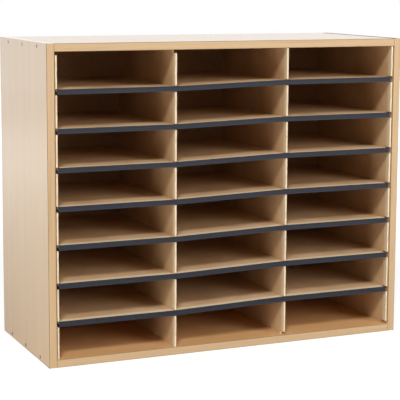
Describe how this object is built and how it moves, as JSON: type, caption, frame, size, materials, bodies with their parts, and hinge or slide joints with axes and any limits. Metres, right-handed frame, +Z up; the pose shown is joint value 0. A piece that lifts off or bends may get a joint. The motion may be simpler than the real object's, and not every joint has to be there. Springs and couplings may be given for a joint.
{
  "type": "pigeonhole mail sorter",
  "caption": "Free-standing laminated wood case holding a half-lapped grid of hardboard shelves and dividers, with dark label mouldings along the shelf fronts.",
  "frame": {"origin": "middle of the footprint, on the surface that the case stands on", "axes": "+X to the right seen from the open front, +Y from the front to the back, +Z up"},
  "size_m": [0.7366, 0.3048, 0.5969],
  "materials": {
    "oak_laminate": "satin oak-grain laminate",
    "edge_band": "satin oak-grain edge band",
    "hardboard": "smooth tempered hardboard",
    "label_moulding": "extruded black plastic",
    "screw_steel": "zinc plated",
    "nail_steel": "bright wire nail",
    "dowel_beech": "plain beech"
  },
  "bodies": {
    "case": {"left_side": "oak_laminate", "right_side": "oak_laminate", "top_panel": "oak_laminate", "bottom_panel": "oak_laminate", "back_panel": "hardboard", "left_side_band": "edge_band", "right_side_band": "edge_band", "top_band": "edge_band", "bottom_band": "edge_band", "left_liner": "hardboard", "right_liner": "hardboard", "left_divider": "hardboard", "right_divider": "hardboard", "screws_left": "screw_steel", "screws_right": "screw_steel", "dowels_left": "dowel_beech", "dowels_right": "dowel_beech", "back_nails": "nail_steel"},
    "shelf_unit_1": {"shelf_1": "hardboard", "label_moulding_1": "label_moulding"},
    "shelf_unit_2": {"shelf_2": "hardboard", "label_moulding_2": "label_moulding"},
    "shelf_unit_3": {"shelf_3": "hardboard", "label_moulding_3": "label_moulding"},
    "shelf_unit_4": {"shelf_4": "hardboard", "label_moulding_4": "label_moulding"},
    "shelf_unit_5": {"shelf_5": "hardboard", "label_moulding_5": "label_moulding"},
    "shelf_unit_6": {"shelf_6": "hardboard", "label_moulding_6": "label_moulding"},
    "shelf_unit_7": {"shelf_7": "hardboard", "label_moulding_7": "label_moulding"}
  },
  "joints": [
    {"name": "shelf_1_slide", "type": "slide", "parent": "case", "child": "shelf_unit_1", "axis": [0, -1, 0], "range_m": [0, 0.302]},
    {"name": "shelf_2_slide", "type": "slide", "parent": "case", "child": "shelf_unit_2", "axis": [0, -1, 0], "range_m": [0, 0.302]},
    {"name": "shelf_3_slide", "type": "slide", "parent": "case", "child": "shelf_unit_3", "axis": [0, -1, 0], "range_m": [0, 0.302]},
    {"name": "shelf_4_slide", "type": "slide", "parent": "case", "child": "shelf_unit_4", "axis": [0, -1, 0], "range_m": [0, 0.302]},
    {"name": "shelf_5_slide", "type": "slide", "parent": "case", "child": "shelf_unit_5", "axis": [0, -1, 0], "range_m": [0, 0.302]},
    {"name": "shelf_6_slide", "type": "slide", "parent": "case", "child": "shelf_unit_6", "axis": [0, -1, 0], "range_m": [0, 0.302]},
    {"name": "shelf_7_slide", "type": "slide", "parent": "case", "child": "shelf_unit_7", "axis": [0, -1, 0], "range_m": [0, 0.302]}
  ]
}
